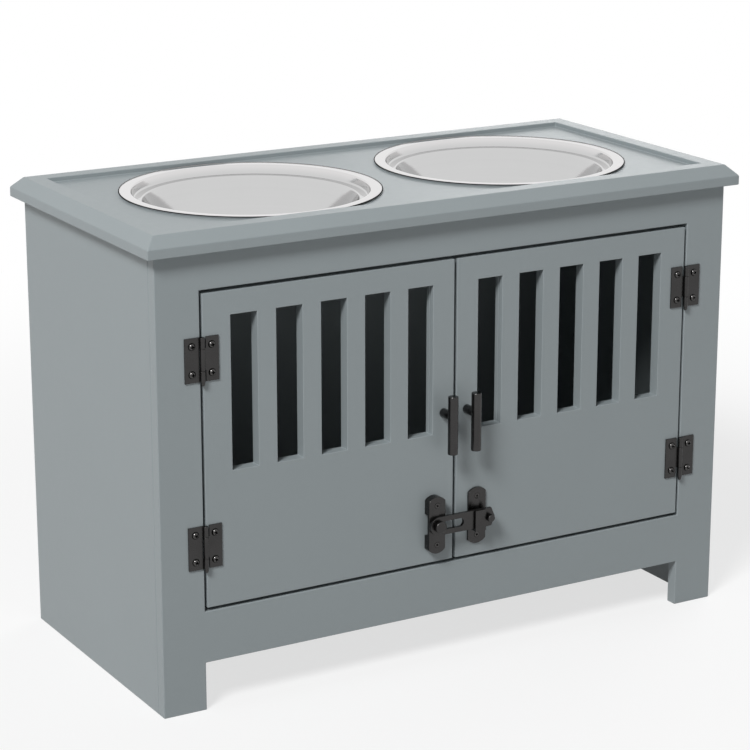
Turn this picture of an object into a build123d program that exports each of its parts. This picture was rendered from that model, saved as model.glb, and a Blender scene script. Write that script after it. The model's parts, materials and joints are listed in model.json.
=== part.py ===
from build123d import *
import math
import os

# Raised dog feeder: a painted cabinet with two slotted doors, a latch and two drop-in bowls.
# Millimetres. X runs along the width, Y from front to back and Z up. The origin is on the floor,
# in the middle of the whole outline, pulls and table overhang included.

# ---- driving dimensions ------------------------------------------------------------------------

# cabinet
cabinet_width = 600
cabinet_depth = 280
cabinet_height = 420
board = 12
back_board = 9
foot_height = 45
stile_width = 42
top_rail_height = 34
bottom_rail_height = 48.5
edge_break = 0.6

# table top
table_thickness = 19
table_overhang = 10
table_bevel = 10
table_lip = 16.5
tray_depth = 4.5
tray_clearance = 2.5

# bowls
bowl_sheet = 0.9
rim_width = 11.4
rim_height = 2.1
bowl_collar_lean = 4
bowl_step_depth = 8.8
bowl_step_width = 3.6
bowl_depth = 62
bowl_wall_lean = 21
bowl_shoulder_radius = 34
bowl_clearance = 1.5

# doors
door_gap = 2
door_gap_level = 2.6
slot_count = 5
slot_width = 26
slot_height = 140.7
slot_margin_inner = 23
slot_margin_outer = 27.6
slot_margin_top = 22.4
slot_groove = 1.2

# hinges
hinge_height = 40
hinge_inset = 58.15
leaf_width = 16.5
leaf_thickness = 1.3
knuckle_ends = (0, 0.25, 0.75, 1)
knuckle_gap = 0.15
barrel_diameter = 4.6
barrel_clearance = 0.3
hinge_pin_diameter = 2.2
hinge_pin_head_diameter = 3.7
hinge_pin_head_length = 3.4
hinge_pin_head_taper = 8
hinge_screw_offset = 9.6
hinge_screw_spacing = 25
hinge_screw_head_diameter = 7
hinge_screw_head_height = 2.1

# pulls
pull_offset = 12.5
pull_bar_diameter = 9.5
pull_bar_length = 55
pull_bar_chamfer = 0.9
pull_bar_bottom = 108.6
pull_post_diameter = 8.6
pull_post_height = 35.3
pull_reach = 21.75
pull_screw_diameter = 4
pull_screw_head_diameter = 8
pull_screw_head_height = 2.4
pull_screw_bite = 8
pull_screw_end_clearance = 1

# latch
latch_height = 39.2
latch_plate_height = 55
latch_plate_round = 4.2
latch_base_width = 17.3
latch_base_thickness = 8.5
latch_base_relief = 5.1
latch_base_relief_height = 20.5
latch_stud_offset = 23.3
latch_stud_diameter = 7.4
latch_stud_shank_diameter = 6
latch_stud_head_diameter = 11.2
latch_stud_head_height = 4.6
latch_stud_chamfer = 0.8
latch_rivet_height = 1.2
latch_bar_height = 17.8
latch_bar_thickness = 3.2
latch_bar_reach = 33.4
latch_bar_point = 3.8
latch_slot_length = 31.3
latch_slot_end_clearance = 0.9
latch_clearance = 0.3
keeper_offset = 14.3
keeper_width = 19
keeper_thickness = 2
hook_offset = 0.5
hook_width = 11.4
hook_thickness = 2.2
hook_seat_height = 14
knob_diameter = 7.2
knob_shank_diameter = 3.9
knob_length = 6
knob_chamfer = 0.6
knob_offset = 30.4

# screws, dowels and their holes
screw_diameter = 2.6
screw_head_diameter = 5.5
screw_head_height = 1.7
screw_head_taper = 25
screw_bite = 9
latch_screw_bite = 8.5
countersink_angle = 82
hole_clearance = 0.05
latch_screw_inset = 8.5

# inner carcass
cleat = 18
door_stop_height = 48
rear_rail_height = 36
dowel_diameter = 6
dowel_length = 24
dowel_spacing = 18
top_screw_spacing = 80
top_screw_bite = 8

# ---- worked out from them ----------------------------------------------------------------------

left, right = -1, 1
side_name = {left: "left", right: "right"}

half_width = cabinet_width / 2
front = -(cabinet_depth + table_overhang - pull_reach) / 2
back = front + cabinet_depth
inner_front = front + board
inner_back = back - back_board
middle_y = (front + back) / 2

table_top_z = cabinet_height + table_thickness
tray_z = table_top_z - tray_depth
tray_width = cabinet_width + 2 * (table_overhang - table_bevel - table_lip)
tray_length = cabinet_depth + 2 * (table_overhang - table_bevel - table_lip)

bowl_rim_diameter = tray_length - 2 * tray_clearance
bowl_gap = (tray_width - 2 * bowl_rim_diameter) / 3  # the same between the bowls and at both ends
bowl_x = (bowl_rim_diameter + bowl_gap) / 2
bowl_wall_radius = bowl_rim_diameter / 2 - rim_width
bowl_collar_radius = bowl_wall_radius - bowl_collar_lean
bowl_step_radius = bowl_collar_radius - bowl_step_width

opening_bottom = foot_height + bottom_rail_height
opening_top = cabinet_height - top_rail_height
opening_half = half_width - stile_width
door_bottom = opening_bottom + door_gap_level
door_top = opening_top - door_gap_level
door_inner = door_gap / 2
door_outer = opening_half - door_gap
door_width = door_outer - door_inner
door_height = door_top - door_bottom
slot_top = door_top - slot_margin_top
slot_pitch = (door_width - slot_margin_inner - slot_margin_outer - slot_width) / (slot_count - 1)

hinge_x = opening_half - door_gap / 2
barrel_radius = barrel_diameter / 2
hinge_y = front - barrel_radius - barrel_clearance
hinge_heights = (door_bottom + hinge_inset, door_top - hinge_inset)
knuckles = [(a * hinge_height, b * hinge_height) for a, b in zip(knuckle_ends, knuckle_ends[1:])]

pull_bottom = door_bottom + pull_bar_bottom
pull_post_z = pull_bottom + pull_post_height
pull_bar_y = front - pull_reach + pull_bar_diameter / 2

latch_z = door_bottom + latch_height
bar_back = latch_base_thickness + latch_clearance
bar_front = bar_back + latch_bar_thickness
bar_half = latch_bar_height / 2
latch_screw_heights = [latch_z + s * (latch_plate_height / 2 - latch_screw_inset) for s in (-1, 1)]
base_screw_points = [(-latch_stud_offset, z) for z in latch_screw_heights]
keeper_screw_points = [(keeper_offset + keeper_width / 2, z) for z in latch_screw_heights]

pilot_radius = screw_diameter / 2 + hole_clearance

front_face = Plane.XZ.offset(-front)  # local x is X, local y is Z, and it faces the front

os.makedirs("parts", exist_ok=True)


def save(piece, name):
    """Label one finished piece and write it to its own STEP file."""
    piece.part.label = name
    export_step(piece.part, f"parts/{name}.step")


def hinge_screw_points(side, door_side):
    """The four screw places of one side's two hinges, on the door leaf or on the frame leaf."""
    inward = -side if door_side else side
    x = side * hinge_x + inward * hinge_screw_offset
    return [(x, z + s * hinge_screw_spacing / 2) for z in hinge_heights for s in (-1, 1)]


# ---- cabinet -----------------------------------------------------------------------------------


def make_side_panel(side):
    """A side panel: one board from the floor to the table top, behind the face frame."""
    with BuildPart() as panel:
        with BuildSketch(Plane.XY):
            with Locations((side * (half_width - board / 2), (inner_front + back) / 2)):
                Rectangle(board, back - inner_front)
        extrude(amount=cabinet_height)
        rear_outer = panel.edges().filter_by(Axis.Z).sort_by(Axis.Y)[-2:]
        chamfer(rear_outer.sort_by(Axis.X)[-1 if side == right else 0], length=edge_break)
    save(panel, f"side_panel_{side_name[side]}")


def make_face_stile(side):
    """A face frame stile, which runs to the floor as the front foot."""
    with BuildPart() as stile:
        with BuildSketch(front_face):
            with Locations((side * (half_width - stile_width / 2), cabinet_height / 2)):
                Rectangle(stile_width, cabinet_height)
        extrude(amount=-board)
        with BuildSketch(front_face):
            with Locations(hinge_screw_points(side, door_side=False)):
                Circle(pilot_radius)
        extrude(amount=-screw_bite, mode=Mode.SUBTRACT)
        with BuildSketch(Plane.YZ.offset(side * opening_half)):
            with Locations(dowel_places):
                Circle(dowel_diameter / 2 + hole_clearance)
        extrude(amount=side * dowel_length / 2, mode=Mode.SUBTRACT)
        outer = stile.edges().filter_by(Axis.Z).group_by(Axis.X)[-1 if side == right else 0]
        chamfer(outer.sort_by(Axis.Y)[0], length=edge_break)
    save(stile, f"face_stile_{side_name[side]}")


def make_face_rail(name, bottom, height):
    """A rail of the face frame, flush between the two stiles and held by dowels."""
    with BuildPart() as rail:
        with BuildSketch(front_face):
            with Locations((0, bottom + height / 2)):
                Rectangle(2 * opening_half, height)
        extrude(amount=-board)
        for side in (left, right):
            with BuildSketch(Plane.YZ.offset(side * opening_half)):
                with Locations([p for p in dowel_places if bottom < p[1] < bottom + height]):
                    Circle(dowel_diameter / 2 + hole_clearance)
            extrude(amount=-side * dowel_length / 2, mode=Mode.SUBTRACT)
    save(rail, name)


dowel_places = [
    (front + board / 2, bottom + height / 2 + s * dowel_spacing / 2)
    for bottom, height in ((foot_height, bottom_rail_height), (opening_top, top_rail_height))
    for s in (-1, 1)
]

for side in (left, right):
    make_side_panel(side)
    make_face_stile(side)
make_face_rail("face_top_rail", opening_top, top_rail_height)
make_face_rail("face_bottom_rail", foot_height, bottom_rail_height)

with BuildPart() as frame_dowels:
    for side in (left, right):
        with BuildSketch(Plane.YZ.offset(side * opening_half - dowel_length / 2)):
            with Locations(dowel_places):
                Circle(dowel_diameter / 2)
        extrude(amount=dowel_length)
save(frame_dowels, "frame_dowels")

with BuildPart() as back_panel:
    with BuildSketch(Plane.XZ.offset(-back)):
        with Locations((0, (foot_height + cabinet_height) / 2)):
            Rectangle(cabinet_width - 2 * board, cabinet_height - foot_height)
    extrude(amount=back_board)
save(back_panel, "back_panel")

with BuildPart() as floor_panel:
    with BuildSketch(Plane.XY.offset(opening_bottom)):
        with Locations((0, (inner_front + inner_back) / 2)):
            Rectangle(cabinet_width - 2 * board, inner_back - inner_front)
    extrude(amount=-board)
save(floor_panel, "floor_panel")

# The stop closes the top of the opening behind the doors and holds the table top at the front.
with BuildPart() as door_stop:
    with BuildSketch(Plane.XY.offset(cabinet_height)):
        with Locations((0, inner_front + board / 2)):
            Rectangle(cabinet_width - 2 * board, board)
    extrude(amount=-door_stop_height)
save(door_stop, "door_stop")

with BuildPart() as rear_rail:
    with BuildSketch(Plane.XY.offset(cabinet_height)):
        with Locations((0, inner_back - board / 2)):
            Rectangle(cabinet_width - 2 * board, board)
    extrude(amount=-rear_rail_height)
save(rear_rail, "rear_rail")

cleat_x = half_width - board - cleat / 2
top_screw_places = [
    (side * cleat_x, middle_y + s * top_screw_spacing / 2) for side in (left, right) for s in (-1, 1)
]


def make_floor_cleat(side):
    """A square strip glued to the side panel, under the floor panel."""
    with BuildPart() as strip:
        with BuildSketch(Plane.XY.offset(opening_bottom - board)):
            with Locations((side * cleat_x, (inner_front + inner_back) / 2)):
                Rectangle(cleat, inner_back - inner_front)
        extrude(amount=-cleat)
    save(strip, f"floor_cleat_{side_name[side]}")


def make_top_cleat(side):
    """A square strip glued to the side panel, which takes the screws of the table top."""
    with BuildPart() as strip:
        with BuildSketch(Plane.XY.offset(cabinet_height)):
            with Locations((side * cleat_x, (inner_front + inner_back) / 2)):
                Rectangle(cleat, inner_back - inner_front - 2 * board)
            with Locations([p for p in top_screw_places if p[0] * side > 0]):
                Circle(pilot_radius, mode=Mode.SUBTRACT)
        extrude(amount=-cleat)
    save(strip, f"top_cleat_{side_name[side]}")


for side in (left, right):
    make_floor_cleat(side)
    make_top_cleat(side)

with BuildPart() as top_screws:
    with BuildSketch(Plane.XY.offset(cabinet_height - cleat)):
        with Locations(top_screw_places):
            Circle(screw_diameter / 2)
    extrude(amount=cleat + top_screw_bite)
    with BuildSketch(Plane.XY.offset(cabinet_height - cleat)):
        with Locations(top_screw_places):
            Circle(screw_head_diameter / 2)
    extrude(amount=-screw_head_height)
save(top_screws, "top_screws")

# ---- table top ---------------------------------------------------------------------------------

with BuildPart() as table_top:
    with BuildSketch(Plane.XY.offset(cabinet_height)):
        with Locations((0, middle_y)):
            Rectangle(cabinet_width + 2 * table_overhang, cabinet_depth + 2 * table_overhang)
    extrude(amount=table_thickness)
    chamfer(table_top.faces().sort_by(Axis.Z)[-1].edges(), length=table_bevel)
    with BuildSketch(Plane.XY.offset(table_top_z)):
        with Locations((0, middle_y)):
            Rectangle(tray_width, tray_length)
    extrude(amount=-tray_depth, mode=Mode.SUBTRACT)
    with BuildSketch(Plane.XY.offset(cabinet_height)):
        with Locations([(side * bowl_x, middle_y) for side in (left, right)]):
            Circle(bowl_wall_radius + bowl_sheet + bowl_clearance)
    extrude(amount=table_thickness, mode=Mode.SUBTRACT)
    with BuildSketch(Plane.XY.offset(cabinet_height)):
        with Locations(top_screw_places):
            Circle(pilot_radius)
    extrude(amount=top_screw_bite, mode=Mode.SUBTRACT)
save(table_top, "table_top")

# ---- bowls -------------------------------------------------------------------------------------


def make_bowl(side):
    """A spun steel bowl: flat rim with its edge turned down, a collar, a step ring, a round shoulder and a floor."""
    x = side * bowl_x
    section = Plane((x, middle_y, tray_z + rim_height), x_dir=(1, 0, 0), z_dir=(0, -1, 0))
    with BuildPart() as bowl:
        with BuildSketch(section):
            with BuildLine():
                FilletPolyline(
                    (0, -bowl_depth),
                    (bowl_step_radius - bowl_wall_lean, -bowl_depth),
                    (bowl_step_radius, -bowl_step_depth),
                    radius=bowl_shoulder_radius,
                )
                Polyline(
                    (bowl_step_radius, -bowl_step_depth),
                    (bowl_collar_radius, -bowl_step_depth),
                    (bowl_wall_radius, 0),
                    (bowl_rim_diameter / 2, 0),
                    (bowl_rim_diameter / 2, -rim_height),
                )
                offset(amount=bowl_sheet, side=Side.RIGHT, kind=Kind.INTERSECTION)
            make_face()
        revolve(axis=Axis((x, middle_y, 0), (0, 0, 1)))
    save(bowl, f"bowl_{side_name[side]}")


for side in (left, right):
    make_bowl(side)

# ---- doors -------------------------------------------------------------------------------------


def make_door(side):
    """A door board with its ventilation slots and the holes of its hinges, pull and latch."""
    slot_x = [
        side * (door_inner + slot_margin_inner + slot_width / 2 + i * slot_pitch) for i in range(slot_count)
    ]
    latch_points = base_screw_points if side == left else keeper_screw_points
    with BuildPart() as door:
        with BuildSketch(front_face):
            with Locations((side * (door_inner + door_outer) / 2, (door_bottom + door_top) / 2)):
                Rectangle(door_width, door_height)
            with Locations([(x, slot_top - slot_height / 2) for x in slot_x]):
                Rectangle(slot_width, slot_height, mode=Mode.SUBTRACT)
        extrude(amount=-board)
        chamfer(door.faces().sort_by(Axis.Y)[0].edges(), length=edge_break)
        # a fine groove runs down both walls of the slot beside the meeting edge
        with BuildSketch(Plane.XY.offset(slot_top)):
            with Locations((slot_x[0], front + board / 2)):
                Rectangle(slot_width + 2 * slot_groove, slot_groove)
        extrude(amount=-slot_height, mode=Mode.SUBTRACT)
        with BuildSketch(front_face):
            with Locations(hinge_screw_points(side, door_side=True) + latch_points):
                Circle(pilot_radius)
        extrude(amount=-screw_bite, mode=Mode.SUBTRACT)
        with BuildSketch(front_face):
            with Locations((side * pull_offset, pull_post_z)):
                Circle(pull_screw_diameter / 2 + hole_clearance)
        extrude(amount=-board, mode=Mode.SUBTRACT)
    save(door, f"door_{side_name[side]}")


for side in (left, right):
    make_door(side)

# ---- hinges ------------------------------------------------------------------------------------


def make_hinge_leaf(side, level, door_side):
    """A leaf of a butt hinge: a flat plate with every second knuckle of the barrel rolled on its edge."""
    inward = -side if door_side else side
    x, z = side * hinge_x, hinge_heights[level] - hinge_height / 2
    own = knuckles[1::2] if door_side else knuckles[::2]
    other = knuckles[::2] if door_side else knuckles[1::2]
    notch = barrel_radius + barrel_clearance
    with BuildPart() as leaf:
        with BuildSketch(front_face):
            with Locations((x + inward * leaf_width / 2, z + hinge_height / 2)):
                Rectangle(leaf_width, hinge_height)
            for start, end in other:
                with Locations((x + inward * notch / 2, z + (start + end) / 2)):
                    Rectangle(notch, end - start + knuckle_gap, mode=Mode.SUBTRACT)
            with Locations(
                [p for p in hinge_screw_points(side, door_side) if z < p[1] < z + hinge_height]
            ):
                Circle(pilot_radius, mode=Mode.SUBTRACT)
        extrude(amount=leaf_thickness)
        for start, end in own:
            with BuildSketch(Plane.XY.offset(z + start + knuckle_gap / 2)):
                with Locations((x, hinge_y)):
                    Circle(barrel_radius)
            extrude(amount=end - start - knuckle_gap)
        with BuildSketch(Plane.XY.offset(z)):
            with Locations((x, hinge_y)):
                Circle(hinge_pin_diameter / 2 + hole_clearance)
        extrude(amount=hinge_height, mode=Mode.SUBTRACT)
    owner = "door" if door_side else "frame"
    save(leaf, f"hinge_{owner}_leaf_{side_name[side]}_{level_name[level]}")


def make_hinge_pin(side, level):
    """The pin of a hinge, with a round head that stands below the barrel."""
    z = hinge_heights[level] - hinge_height / 2
    with BuildPart() as pin:
        with BuildSketch(Plane.XY.offset(z)):
            with Locations((side * hinge_x, hinge_y)):
                Circle(hinge_pin_diameter / 2)
        extrude(amount=hinge_height)
        with BuildSketch(Plane.XY.offset(z)):
            with Locations((side * hinge_x, hinge_y)):
                Circle(hinge_pin_head_diameter / 2)
        extrude(amount=-hinge_pin_head_length, taper=hinge_pin_head_taper)
    save(pin, f"hinge_pin_{side_name[side]}_{level_name[level]}")


level_name = ("lower", "upper")
for side in (left, right):
    for level in (0, 1):
        make_hinge_leaf(side, level, door_side=False)
        make_hinge_leaf(side, level, door_side=True)
        make_hinge_pin(side, level)


def make_hinge_screws(name, points):
    """Round-headed wood screws through the hinge leaves, one solid each."""
    with BuildPart() as screws:
        with BuildSketch(front_face.offset(leaf_thickness)):
            with Locations(points):
                Circle(hinge_screw_head_diameter / 2)
        extrude(amount=hinge_screw_head_height, taper=screw_head_taper)
        with BuildSketch(front_face.offset(leaf_thickness)):
            with Locations(points):
                Circle(screw_diameter / 2)
        extrude(amount=-screw_bite)
    save(screws, name)


frame_screw_points = hinge_screw_points(left, door_side=False) + hinge_screw_points(right, door_side=False)
make_hinge_screws("hinge_screws_frame", frame_screw_points)
for side in (left, right):
    make_hinge_screws(f"hinge_screws_door_{side_name[side]}", hinge_screw_points(side, door_side=True))

# ---- pulls -------------------------------------------------------------------------------------


def make_pull(side):
    """A T-bar pull: an upright bar on one post, held by a machine screw from inside the door."""
    x = side * pull_offset
    bar_radius = pull_bar_diameter / 2
    with BuildPart() as bar:
        with BuildSketch(Plane.XY.offset(pull_bottom)):
            with Locations((x, pull_bar_y)):
                Circle(bar_radius)
        extrude(amount=pull_bar_length)
        chamfer(bar.edges().filter_by(GeomType.CIRCLE), length=pull_bar_chamfer)
    save(bar, f"pull_bar_{side_name[side]}")

    with BuildPart() as post:
        with BuildSketch(front_face):
            with Locations((x, pull_post_z)):
                Circle(pull_post_diameter / 2)
        extrude(amount=front - pull_bar_y)
        with BuildSketch(Plane.XY.offset(pull_bottom)):
            with Locations((x, pull_bar_y)):
                Circle(bar_radius + hole_clearance)
        extrude(amount=pull_bar_length, mode=Mode.SUBTRACT)
        with BuildSketch(front_face):
            with Locations((x, pull_post_z)):
                Circle(pull_screw_diameter / 2 + hole_clearance)
        extrude(amount=pull_screw_bite + pull_screw_end_clearance, mode=Mode.SUBTRACT)
    save(post, f"pull_post_{side_name[side]}")

    with BuildPart() as screw:
        with BuildSketch(front_face.offset(-board)):
            with Locations((x, pull_post_z)):
                Circle(pull_screw_diameter / 2)
        extrude(amount=board + pull_screw_bite)
        with BuildSketch(front_face.offset(-board)):
            with Locations((x, pull_post_z)):
                Circle(pull_screw_head_diameter / 2)
        extrude(amount=-pull_screw_head_height)
    save(screw, f"pull_screw_{side_name[side]}")


for side in (left, right):
    make_pull(side)

# ---- latch -------------------------------------------------------------------------------------


def plate_outline(width):
    """The front view of a latch plate: straight sides and shallow round ends."""
    w, h = width / 2, latch_plate_height / 2
    straight = h - latch_plate_round
    with BuildSketch() as outline:
        with BuildLine():
            Line((-w, -straight), (-w, straight))
            ThreePointArc((-w, straight), (0, h), (w, straight))
            Line((w, straight), (w, -straight))
            ThreePointArc((w, -straight), (0, -h), (-w, -straight))
        make_face()
    return outline.sketch


with BuildPart() as latch_base:
    with BuildSketch(front_face):
        with Locations((-latch_stud_offset, latch_z)):
            add(plate_outline(latch_base_width))
    extrude(amount=latch_base_thickness)
    # the middle stands off the door like a bridge
    with BuildSketch(front_face):
        with Locations((-latch_stud_offset, latch_z)):
            Rectangle(latch_base_width, latch_base_relief_height)
    extrude(amount=latch_base_relief, mode=Mode.SUBTRACT)
    with BuildSketch(front_face.offset(latch_base_thickness)):
        with Locations((-latch_stud_offset, latch_z)):
            Circle(latch_stud_shank_diameter / 2 + hole_clearance)
    extrude(amount=-latch_base_thickness, mode=Mode.SUBTRACT)
    with Locations(front_face.offset(latch_base_thickness)):
        with Locations(base_screw_points):
            CounterSinkHole(pilot_radius, screw_head_diameter / 2 + hole_clearance, counter_sink_angle=countersink_angle)
save(latch_base, "latch_base")

with BuildPart() as latch_stud:
    with BuildSketch(front_face.offset(latch_base_relief)):
        with Locations((-latch_stud_offset, latch_z)):
            Circle(latch_stud_shank_diameter / 2)
    extrude(amount=latch_base_thickness - latch_base_relief)
    with BuildSketch(front_face.offset(latch_base_thickness)):
        with Locations((-latch_stud_offset, latch_z)):
            Circle(latch_stud_diameter / 2)
    extrude(amount=latch_bar_thickness + 2 * latch_clearance)
    with BuildSketch(front_face.offset(bar_front + latch_clearance)):
        with Locations((-latch_stud_offset, latch_z)):
            Circle(latch_stud_head_diameter / 2)
    extrude(amount=latch_stud_head_height)
    chamfer(latch_stud.faces().sort_by(Axis.Y)[0].edges(), length=latch_stud_chamfer)
    with BuildSketch(front_face.offset(latch_base_relief)):
        with Locations((-latch_stud_offset, latch_z)):
            Circle(latch_stud_diameter / 2)
    extrude(amount=-latch_rivet_height)
save(latch_stud, "latch_stud")

with BuildPart() as latch_bar:
    with BuildSketch(front_face.offset(bar_back)):
        with BuildLine(Plane((0, latch_z, 0))):
            ThreePointArc(
                (-latch_stud_offset, bar_half),
                (-latch_stud_offset - bar_half, 0),
                (-latch_stud_offset, -bar_half),
            )
            Polyline(
                (-latch_stud_offset, -bar_half),
                (latch_bar_reach, -bar_half),
                (latch_bar_reach + latch_bar_point, 0),
                (latch_bar_reach, bar_half),
                (-latch_stud_offset, bar_half),
            )
        make_face()
        slot_start = -latch_stud_offset - latch_stud_diameter / 2 - latch_slot_end_clearance
        with Locations((slot_start + latch_slot_length / 2, latch_z)):
            SlotOverall(latch_slot_length, latch_stud_diameter + 2 * latch_clearance, mode=Mode.SUBTRACT)
        with Locations((knob_offset, latch_z)):
            Circle(knob_shank_diameter / 2 + hole_clearance, mode=Mode.SUBTRACT)
    extrude(amount=latch_bar_thickness)
save(latch_bar, "latch_bar")

with BuildPart() as latch_knob:
    with BuildSketch(front_face.offset(bar_back)):
        with Locations((knob_offset, latch_z)):
            Circle(knob_shank_diameter / 2)
    extrude(amount=latch_bar_thickness)
    with BuildSketch(front_face.offset(bar_front)):
        with Locations((knob_offset, latch_z)):
            Circle(knob_diameter / 2)
    extrude(amount=knob_length)
    chamfer(latch_knob.faces().sort_by(Axis.Y)[0].edges(), length=knob_chamfer)
save(latch_knob, "latch_knob")

with BuildPart() as latch_keeper:
    with BuildSketch(front_face):
        with Locations((keeper_offset + keeper_width / 2, latch_z)):
            add(plate_outline(keeper_width))
    extrude(amount=keeper_thickness)
    # the hook is open at the top: a seat behind the bar, a web under it and a tongue in front of it
    with BuildSketch(Plane.YZ.offset(keeper_offset + hook_offset)):
        with BuildLine():
            seat = front - latch_base_thickness
            tongue = front - bar_front - latch_clearance
            web = latch_z - bar_half - latch_clearance
            Polyline(
                (front, web - hook_thickness),
                (tongue - hook_thickness, web - hook_thickness),
                (tongue - hook_thickness, latch_z + bar_half),
                (tongue, latch_z + bar_half),
                (tongue, web),
                (seat, web),
                (seat, web + hook_seat_height),
                (front, web + hook_seat_height),
                close=True,
            )
        make_face()
    extrude(amount=hook_width)
    with Locations(front_face.offset(keeper_thickness)):
        with Locations(keeper_screw_points):
            CounterSinkHole(pilot_radius, screw_head_diameter / 2 + hole_clearance, counter_sink_angle=countersink_angle)
save(latch_keeper, "latch_keeper")


def make_latch_screws(name, points, plate_thickness):
    """Countersunk wood screws, flush in a latch plate, one solid each."""
    head_depth = (screw_head_diameter - screw_diameter) / 2 / math.tan(math.radians(countersink_angle / 2))
    with BuildPart() as screws:
        with BuildSketch(front_face.offset(-latch_screw_bite)):
            with Locations(points):
                Circle(screw_diameter / 2)
        extrude(amount=latch_screw_bite + plate_thickness - head_depth)
        with BuildSketch(front_face.offset(plate_thickness - head_depth)):
            with Locations(points):
                Circle(screw_diameter / 2)
        extrude(amount=head_depth, taper=-countersink_angle / 2)
    save(screws, name)


make_latch_screws("latch_base_screws", base_screw_points, latch_base_thickness)
make_latch_screws("latch_keeper_screws", keeper_screw_points, keeper_thickness)
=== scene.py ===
"""Raised dog feeder: the painted cabinet, its steel bowls and its dark hardware, round the frame.

Metres, in the frame's own axes: X along the width, Y from the doors to the back, Z up.
"""

import json
import math

import bmesh
import bpy
import numpy as np
from bpy.props import FloatProperty, FloatVectorProperty, IntProperty, PointerProperty
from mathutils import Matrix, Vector

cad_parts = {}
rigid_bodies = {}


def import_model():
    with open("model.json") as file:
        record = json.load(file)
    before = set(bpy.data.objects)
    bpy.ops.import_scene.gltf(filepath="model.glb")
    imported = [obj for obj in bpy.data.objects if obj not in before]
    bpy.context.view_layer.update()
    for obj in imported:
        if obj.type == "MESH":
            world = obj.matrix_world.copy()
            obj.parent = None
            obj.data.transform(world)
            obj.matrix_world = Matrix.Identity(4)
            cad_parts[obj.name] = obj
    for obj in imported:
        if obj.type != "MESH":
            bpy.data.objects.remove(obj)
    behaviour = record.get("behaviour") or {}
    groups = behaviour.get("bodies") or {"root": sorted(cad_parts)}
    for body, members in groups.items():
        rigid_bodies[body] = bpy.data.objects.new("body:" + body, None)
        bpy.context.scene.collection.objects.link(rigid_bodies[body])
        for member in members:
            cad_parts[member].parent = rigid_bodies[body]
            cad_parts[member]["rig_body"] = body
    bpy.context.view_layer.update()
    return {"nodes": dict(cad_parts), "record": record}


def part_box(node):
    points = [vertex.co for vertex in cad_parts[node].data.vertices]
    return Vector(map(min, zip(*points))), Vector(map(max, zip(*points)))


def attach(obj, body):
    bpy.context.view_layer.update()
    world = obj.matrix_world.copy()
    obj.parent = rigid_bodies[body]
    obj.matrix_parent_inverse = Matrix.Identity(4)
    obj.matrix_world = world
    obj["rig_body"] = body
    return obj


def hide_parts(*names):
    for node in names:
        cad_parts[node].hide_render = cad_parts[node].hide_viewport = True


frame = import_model()

bl_info = {
    "name": "Raised dog feeder",
    "version": (1, 0, 0),
    "blender": (4, 5, 0),
    "location": "3D View > Sidebar > Feeder",
    "description": "Builds a raised dog feeder with slotted doors, a flip latch and two bowls",
    "category": "Add Mesh",
}

SIDES = {"left": -1, "right": 1}
LEVELS = ("lower", "upper")
X, Y, Z = np.eye(3)
FLAT = X + Y  # a point times this lies on the floor below it

# ---- the frame's own places ----


def corners(node):
    """The lowest and the highest corner of a frame node, as two arrays."""
    low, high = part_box(node)
    return np.array(low), np.array(high)


def measured(node):
    """A frame node's lowest and highest corner, its middle and half its width."""
    low, high = corners(node)
    return low, high, (low + high) / 2, (high[0] - low[0]) / 2


STILE_LOW, STILE_HIGH = corners("face_stile_left")
TABLE_LOW, TABLE_HIGH = corners("table_top")
MIDDLE = (TABLE_LOW + TABLE_HIGH) / 2
SLOT_OF = {row["node"]: row["material_slot"] for row in frame["record"]["subparts"]}

# ---- sizes, finishes and stage settings ----


def setting(kind, **common):
    """A maker of settings of one kind, which all have the same limits and unit."""

    def make(name, description, default):
        return kind(name=name, description=description, default=default, **common)

    return make


length = setting(FloatProperty, min=0.0, unit="LENGTH")
point = setting(FloatVectorProperty, subtype="TRANSLATION", unit="LENGTH")
angle = setting(FloatProperty, subtype="ANGLE")
lens = setting(FloatProperty, unit="CAMERA")
colour = setting(FloatVectorProperty, min=0.0, max=1.0, subtype="COLOR")
share = setting(FloatProperty, min=0.0, max=1.0)
light = setting(FloatProperty, min=0.0, max=5.0)
number = setting(IntProperty, min=2)


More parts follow.
